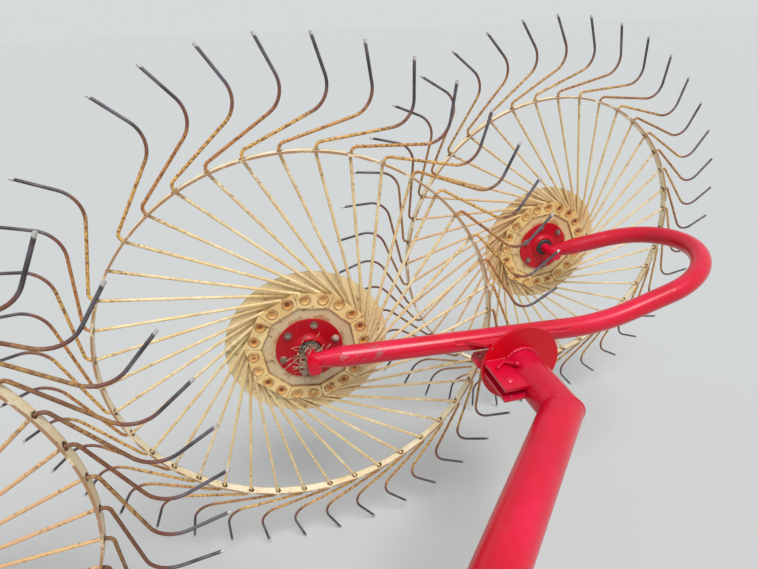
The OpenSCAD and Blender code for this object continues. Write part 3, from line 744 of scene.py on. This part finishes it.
# A weld bead: a run of overlapping drops
def bead(points, size, seed, closed=False):
    drop = {"step": 0.55, "swell": 0.13, "beat": 2.1, "uneven": 0.09, "end": 0.5}
    dice = random.Random(seed)
    places = evenly(points, size * drop["step"], closed)
    sizes = []
    for k in range(len(places)):
        swell = drop["swell"] * math.sin(k * drop["beat"])
        sizes.append(size * (1 + swell + dice.uniform(-drop["uneven"], drop["uneven"])))
    if not closed:
        sizes[0] *= drop["end"]
        sizes[-1] *= drop["end"]
    return {"places": places, "size": sizes, "closed": closed}


def addBeads(name, beads, body, material, home):
    addPiece(name, [(wireShape(beads), Matrix())], body, material, home, sharp=75)


# Nuts and studs of a hub, its lip, and the joint in its hoop
def addWheelTrim(number):
    trim = {
        "boltRing": 67.5, "boltTurn": {1: 15.5, 2: 41.0, 3: 7.0, 4: 52.0}, "boltPitch": 60,
        "washer": [(4.5, 0), (9.6, 0), (9.9, 0.5), (9.6, 1.6), (4.5, 1.6)], "washerTop": 1.6, "studFoot": 1.0,
        "nut": (7.9, 5.6), "stud": (4.0, 8.6, 1.25), "head": (8.4, 5.0),
        "flangeFront": 12.3, "flangeBack": -10.3, "bossRadius": 29.0, "bossFront": 19.0,
        "lipFoot": [(-1.4, -0.4), (14, -0.4), (13.6, 0.3), (10.6, 1.1), (8.2, 2.8), (6.6, 5.4)],
        "lipTop": [(5.0, 1.0), (3.0, 2.1), (1.0, 2.2), (-0.8, 1.4), (-1.4, -0.2)],
        "seamTurn": {1: 197, 2: 83, 3: 301, 4: 140}, "seamOff": 2.2, "seamHalf": 10.6,
        "seamOuter": (478.2, 1.9), "seamInner": (473.8, 1.7),
    }
    home = wheelMatrix(number)
    body = f"wheel_{number}"
    dice = random.Random(40 + number)
    washer = turnedShape(trim["washer"], steps=28, ring=True)
    nut = nutShape(*trim["nut"])
    stud = threadShape(*trim["stud"])
    head = nutShape(*trim["head"])
    bolts = []
    for step in range(0, 360, trim["boltPitch"]):
        turn = turnBy(trim["boltTurn"][number] + step, "Z")
        foot = turn @ moveBy(trim["boltRing"], 0, trim["flangeFront"])
        rear = turn @ moveBy(trim["boltRing"], 0, trim["flangeBack"] - trim["head"][1])
        nutPlace = foot @ moveBy(0, 0, trim["washerTop"]) @ Matrix.Rotation(dice.uniform(0, 1), 4, "Z")
        headPlace = rear @ Matrix.Rotation(dice.uniform(0, 1), 4, "Z")
        studPlace = foot @ moveBy(0, 0, trim["studFoot"])
        bolts += [(washer, foot), (nut, nutPlace), (stud, studPlace), (head, headPlace)]
    addPiece(f"hub_bolts_{number}", bolts, body, zincSteel, home)

    radius = trim["bossRadius"]
    outline = [(radius + out, trim["flangeFront"] + up) for out, up in trim["lipFoot"]]
    outline += [(radius + out, trim["bossFront"] + up) for out, up in trim["lipTop"]]
    lip = turnedShape(outline, steps=64, ring=True)
    addPiece(f"boss_lip_{number}", [(lip, Matrix())], body, hubRed, home, sharp=50)

    seam = turnBy(trim["seamTurn"][number] + trim["seamOff"], "Z")
    beads = []
    for (radius, size), seed in ((trim["seamOuter"], number), (trim["seamInner"], number + 9)):
        line = [seam @ Vector((radius, 0, z)) for z in (-trim["seamHalf"], trim["seamHalf"])]
        beads.append(bead(line, size, seed=seed))
    hoopCream = nodes[f"hoop_{number}"].data.materials[0]
    addBeads(f"hoop_joint_{number}", beads, body, hoopCream, home)


# The seal in front of a hub, and the axle's end behind it with its nut and split pin
def addAxleTrim(number):
    trim = {
        "sealBack": 19.4, "sealFront": 24.9, "sealFoot": [(15.2, 0.3), (26.6, 0), (27.0, 0.6), (26.0, 1.6)],
        "sealRim": [(24.0, -1.2), (22.6, -0.2), (19.8, 0.1), (18.6, -0.9), (17.4, -0.2), (15.2, 0.4)],
        "nutBack": -35.0, "nut": (25.6, 12.2), "thread": (13.5, 9.5, 2.0), "threadFoot": 0.5,
        "legs": [[(-27, 0.0, -5.6), (-16, 0.6, -5.2), (16, 0.6, -5.2), (24, 3.5, -4.6), (28, 8.5, -3.6)],
                 [(-27, 0.0, -3.8), (-16, -0.6, -4.6), (16, -0.6, -4.6), (24, -3.5, -4.8), (27, -9.0, -4.0)]],
        "eye": (-29.2, -4.7), "eyeRadius": 2.6, "wire": 1.1,
    }
    home = wheelMatrix(number)
    body = "rocker_" + layout["wheels"][number]["pair"]
    outline = [(radius, trim["sealBack"] + up) for radius, up in trim["sealFoot"]]
    outline += [(radius, trim["sealFront"] + up) for radius, up in trim["sealRim"]]
    seal = turnedShape(outline, steps=56, ring=True)
    addPiece(f"axle_seal_{number}", [(seal, Matrix())], body, blackRubber, home, sharp=50)

    low = trim["nutBack"] - trim["nut"][1]
    thread = moveBy(0, 0, low + trim["threadFoot"]) @ turnBy(180, "X")
    wires = [{"places": [(x, y, low + z) for x, y, z in leg], "size": trim["wire"]} for leg in trim["legs"]]
    x, z = trim["eye"]
    eye = circle(trim["eyeRadius"], count=12, centre=(x, 0, low + z), up=(0, 0, 1))
    wires.append({"places": eye, "size": trim["wire"], "closed": True})
    shapes = [(nutShape(*trim["nut"]), moveBy(0, 0, low)), (threadShape(*trim["thread"]), thread),
              (wireShape(wires, sides=2), Matrix())]
    addPiece(f"axle_nut_{number}", shapes, body, wornSteel, home)


# Welds of a rocker on its gusset, sleeve and tongue, and the far end of its pin
def addRockerTrim(side):
    trim = {
        "pivot": (490.0, -52.0), "bar": -62.0, "slope": math.tan(math.radians(-5.3)), "tube": 25.4,
        "gusset": (8.0, 16.0), "topRun": range(336, 634, 8), "underRun": range(334, 632, 8),
        "edge": -149.0, "edgeRise": 8.8, "edgeRun": (-86, 93), "ring": (39.4, -139.4), "ringTurn": (4, 176),
        "tongueX": 452.2, "tongueRun": (-147, -82), "tongue": (-49.6, -58.4),
        "pinBack": -0.054, "thread": (15.0, 11.0, 2.0), "wire": 1.3,
        "legs": [[(-19, 0, 5.6), (-12, 0.5, 5.4), (15, 0.5, 5.4), (21, 4, 5.0), (22, 9, 4.4)],
                 [(-19, 0, 4.2), (-12, -0.5, 4.6), (15, -0.5, 4.6), (21, -4, 4.8), (21, -10, 4.2)]],
    }
    home = pairMatrix(side)
    px, pz = trim["pivot"]
    sleeve, half, steps = 38.0, 43, 24

    def barAt(x, height):
        return trim["bar"] + x * trim["slope"] - math.sqrt(trim["tube"] ** 2 - height ** 2)

    low, high = trim["gusset"]
    top = [(x, barAt(x, high) - 0.6, high + 0.6) for x in trim["topRun"]]
    under = [(x, barAt(x, low) - 0.4, low - 0.8) for x in trim["underRun"]]
    edge = [(px + x, trim["edge"] + trim["edgeRise"], low - 0.6) for x in trim["edgeRun"]]
    radius, y = trim["ring"]
    start, end = trim["ringTurn"]
    ring = circle(radius, count=40, start=start, end=end, centre=(px, y, pz), up=(0, 0, 1))
    saddle = []
    for way in (-1, 1):
        for k in range(steps + 1):
            turn = math.radians(-way * (-half + 2 * half * k / steps))
            z = pz + sleeve * math.cos(turn)
            middle = trim["bar"] + (px + sleeve * math.sin(turn)) * trim["slope"]
            y = middle + way * math.sqrt(max(0.0, trim["tube"] ** 2 - z ** 2))
            saddle.append((px + sleeve * math.sin(turn) * 1.01, y, z))
    beads = [bead(top, 2.6, seed=1), bead(under, 2.6, seed=2), bead(edge, 2.2, seed=3),
             bead(ring, 3.0, seed=4), bead(saddle, 2.6, closed=True, seed=5)]
    for z in trim["tongue"]:
        beads.append(bead([(trim["tongueX"], y, z) for y in trim["tongueRun"]], 2.0, seed=6))
    addBeads(f"rocker_welds_{side}", beads, f"rocker_{side}", rockerRed, home)

    behind = home @ moveBy(px / 1000, trim["pinBack"], pz / 1000) @ turnBy(-90, "X")
    split = wireShape([{"places": leg, "size": trim["wire"]} for leg in trim["legs"]], sides=2)
    shapes = [(threadShape(*trim["thread"]), moveBy(0, 0, -1)), (split, Matrix())]
    addPiece(f"pivot_pin_end_{side}", shapes, f"swing_arm_{side}", wornSteel, behind)


# Welds of an arm: the ring round its stub, the elbow's seam, the latch plates and the hinge barrel
def addArmTrim(side):
    trim = {
        "pivot": (490.0, -52.0), "elbow": -340.0, "disc": -159.0, "tube": 44.45, "lean": 22.25,
        "latch": ((-25.4, 26.0), (-34.6, 18.0), (-53.4, 2.0), (-62.6, 10.0)), "latchRun": (-264, -164),
        "latchSide": 397, "hingeTurn": 260.5,
        "hinge": {"a": (-0.375826, -0.250, -0.312), "b": (0.375826, -0.250, -0.312)},
        "cut": (0.4, 38.6), "cutRun": range(-21, 22, 3),
        "washer": [(8.4, 0), (22.5, 0), (23, 0.4), (22.5, 0.9), (8.4, 0.9)], "nut": (13.5, 8.0),
        "thread": (8.0, 5.5, 2.0), "lockPlace": 120, "lockHeights": (62.05, 78.6, 82.5),
    }
    home = pairMatrix(side)
    body = f"swing_arm_{side}"
    px, pz = trim["pivot"]
    radius, disc = trim["tube"], trim["disc"]
    ring = circle(radius + 1.6, count=60, centre=(px, disc - 2.2, pz), up=(0, 0, 1))
    elbow = moveBy(px, trim["elbow"], pz) @ turnBy(90 - trim["lean"], "Z") @ turnBy(90, "Z") @ turnBy(90, "X")
    wider = math.cos(math.radians(trim["lean"]))
    seam = [elbow @ Vector((p.x / wider, p.y, 0)) for p in circle(radius - 0.9, count=72)]
    beads = [bead(ring, 5.6, closed=True, seed=11), bead(seam, 2.1, closed=True, seed=12)]
    for z, inward in trim["latch"]:
        x = px - math.sqrt(radius ** 2 - inward ** 2) - 0.8
        beads.append(bead([(x, y, z) for y in trim["latchRun"]], 2.4, seed=13))
        beads.append(bead([(trim["latchSide"], disc - 0.8, z), (x - 2, disc - 0.8, z)], 2.4, seed=14))
    addBeads(f"arm_welds_{side}", beads, body, tubeRed, home)

    home = Matrix.Translation(trim["hinge"][side]) @ turnBy(trim["hingeTurn"], "Z")
    barrel, half, steps = 38.0, 88, 36
    beads = []
    for way in (-1, 1):
        saddle = []
        for k in range(steps + 1):
            turn = math.radians(-half + 2 * half * k / steps)
            across = barrel * math.sin(turn)
            rise = way * (math.sqrt(radius ** 2 - across ** 2) + 0.3)
            saddle.append((barrel * math.cos(turn) * 1.02, across, rise))
        beads.append(bead(saddle, 2.8, seed=15))
        x, y = trim["cut"]
        beads.append(bead([(x, way * y, z) for z in trim["cutRun"]], 3.0, seed=16))
    addBeads(f"hinge_welds_{side}", beads, body, frameRed, home)

    washer = turnedShape(trim["washer"], steps=36, ring=True)
    shapes = (washer, nutShape(*trim["nut"]), threadShape(*trim["thread"]))
    lock = [(shape, moveBy(trim["lockPlace"], 0, z)) for shape, z in zip(shapes, trim["lockHeights"])]
    addPiece(f"swing_lock_{side}", lock, body, zincSteel, home)


# Welds, end plates, linch pins and grease nipples of the hitch frame
def addFrameTrim():
    trim = {
        "hinge": 375.826, "lug": 34.0,
        "mastFoot": (228.7, -113.2), "mastHalf": (10.6, 30.2), "plates": (326.5, 341.5), "sleeveX": 430.5,
        "sleeveSides": (-89.2, -150.8), "brace": (25, -149.5),
        "cap": (5.0, 87.6, 87.6, 1.2), "capPlace": (421, -120, -312),
        "pin": [(0, -24), (2.6, -23.4), (4.4, -20), (4.4, 17), (6.6, 18),
                (7.4, 22), (6.4, 26), (3.6, 28.4), (0, 28.8)],
        "pinPlace": (401.5, 0, -460), "pinTurn": {-1: 78, 1: 102},
        "eye": 23, "ring": 20, "ringWire": 2.2, "ringDroop": 38,
        "nipple": [(0, 0), (4.8, 0), (4.8, 3.2), (3.0, 3.6), (2.3, 6.2),
                   (3.1, 7.4), (3.1, 9.2), (1.8, 10.8), (0, 11)],
        "nipplePlace": (-250, -240),
    }
    front, back, top, low = -70.0, -170.0, -262.0, -362.0
    home = Matrix()
    beads = []
    for s in (-1, 1):
        for offset in (-trim["lug"] - 0.6, trim["lug"] + 0.6):
            x = s * trim["hinge"] + offset
            for z, seed in ((top + 0.6, 21), (low - 0.6, 22)):
                beads.append(bead([(x, front - 3, z), (x, back, z)], 3.0, seed=seed))
        x, y = trim["mastFoot"]
        beads.append(bead(rectangle(s * x, y, top + 0.6, *trim["mastHalf"]), 3.2, closed=True, seed=23))
        for x in trim["plates"]:
            beads.append(bead([(s * x, front + 0.8, top - 10), (s * x, front + 0.8, low + 2)], 3.0, seed=24))
        x = s * trim["sleeveX"]
        for y in trim["sleeveSides"]:
            beads.append(bead([(x, y, top - 4), (x, y, low + 4)], 3.0, seed=25))
    x, y = trim["brace"]
    beads.append(bead([(-x, y, top + 0.6), (x, y, top + 0.6)], 3.0, seed=26))
    addBeads("frame_welds", beads, "frame", frameRed, home)

    cap = plateShape(*trim["cap"])
    pin = turnedShape(trim["pin"], steps=24)
    eye = trim["eye"]
    ring = circle(trim["ring"], centre=(trim["ring"], 0, eye))
    ring = wireShape([{"places": ring, "size": trim["ringWire"], "closed": True}], sides=2)
    droop = moveBy(0, 0, eye) @ turnBy(trim["ringDroop"], "Y") @ moveBy(0, 0, -eye)
    nipple = turnedShape(trim["nipple"], steps=18)
    caps, pins, nipples = [], [], []
    for s in (-1, 1):
        x, y, z = trim["capPlace"]
        caps.append((cap, moveBy(s * x, y, z)))
        x, y, z = trim["pinPlace"]
        at = moveBy(s * x, y, z) @ turnBy(trim["pinTurn"][s], "Z")
        pins += [(pin, at), (ring, at @ droop)]
        nipples.append((nipple, moveBy(s * trim["hinge"], *trim["nipplePlace"])))
    addPiece("tube_ends", caps, "frame", frameRed, home)
    addPiece("linch_pins", pins, "frame", zincSteel, home)
    addPiece("grease_nipples", nipples, "frame", zincSteel, home)


# A parking stand's cap, and the weld of its foot
def addStandTrim(name, s):
    trim = {"x": 460.0, "y": -120.0, "half": 25.6, "foot": -951.4,
            "cap": (39.4, 39.4, 3.0, 0.8), "capHeight": -192.0}
    x, y, half = s * trim["x"], trim["y"], trim["half"]
    foot = rectangle(x, y, trim["foot"], half, half)
    addBeads(f"{name}_welds", [bead(foot, 2.8, closed=True, seed=31)], name, frameRed, Matrix())
    cap = [(plateShape(*trim["cap"]), moveBy(x, y, trim["capHeight"]))]
    addPiece(f"{name}_cap", cap, name, frameRed, Matrix())


# Hay wound round the first axle in front of its hub, with some loose ends
def addStraw():
    straw = {"strands": 13, "near": 16.5, "far": 25.0, "back": 27.0, "front": 44.0, "tails": 86, "seed": 7,
             "lowest": 26.0, "tailLowest": 26.5, "longHeight": 34, "longRadius": 15,
             "long": ((12, 88.3, 8.9), (8, -76.8, -9.8), (6, -69.4, -29.1), (9, -23.2, -82.0))}
    dice = random.Random(straw["seed"])
    paths = []
    for k in range(straw["strands"]):
        start, turns = dice.uniform(0, 2 * math.pi), dice.uniform(0.25, 0.8) * dice.choice((-1, 1))
        tip, away = dice.uniform(-0.7, 0.7), dice.uniform(-0.7, 0.7)
        radius = dice.uniform(straw["near"], straw["far"])
        height = dice.uniform(straw["back"], straw["front"])
        rise, wave = dice.uniform(-9, 16), dice.uniform(0.4, 2.2)
        places = []
        for step in range(15):
            t = step / 14
            angle = start + turns * 2 * math.pi * t
            reach = radius + wave * math.sin(5 * t + start) + 1.5 * t
            x, y = reach * math.cos(angle), reach * math.sin(angle)
            places.append((x, y, max(straw["lowest"], height + rise * t * t + tip * x + away * y)))
        paths.append({"places": places, "size": dice.uniform(0.35, 0.7)})
    for k in range(straw["tails"]):
        middle = Vector((dice.gauss(-5, 14), dice.gauss(-17, 19), dice.uniform(31, 70)))
        lean = math.radians(dice.gauss(-118, 48))
        along = Vector((math.cos(lean), math.sin(lean), dice.uniform(-0.35, 0.35)))
        side = Vector((-math.sin(lean), math.cos(lean), dice.uniform(-0.5, 0.5)))
        half, sag = dice.uniform(12, 36), dice.uniform(-7, 7)
        places = []
        for step in range(9):
            t = step / 4 - 1
            place = middle + along * half * t + side * sag * t * t
            places.append((place.x, place.y, max(straw["tailLowest"], place.z)))
        paths.append({"places": places, "size": dice.uniform(0.50, 1.0)})
    base = Vector((0, 0, straw["longHeight"]))
    for rise, x, y in straw["long"]:
        end = Vector((x, y, rise)) + base
        begin = Vector((end.y, -end.x, 0)).normalized() * straw["longRadius"] + base
        middle = begin.lerp(end, 0.5) + Vector((0, 3, 4))
        places = [begin.lerp(middle, t / 6).lerp(middle.lerp(end, t / 6), t / 6) for t in range(7)]
        paths.append({"places": places, "size": 0.75})
    stems = [(wireShape(paths, sides=0), Matrix())]
    addPiece("wound_hay", stems, "rocker_a", dryHay, wheelMatrix(1), sharp=60)


for number in layout["wheels"]:
    addWheelTrim(number)
    addAxleTrim(number)
print("wheels finished")
for side in layout["pairs"]:
    addRockerTrim(side)
    addArmTrim(side)
print("rockers and arms finished")
addFrameTrim()
addStandTrim("stand_left", -1)
addStandTrim("stand_right", 1)
addStraw()
for mesh in [m for m in bpy.data.meshes if m.name.startswith(("shape", "wires")) and m.users == 0]:
    bpy.data.meshes.remove(mesh)

bpy.context.scene.view_settings.view_transform = "Standard"
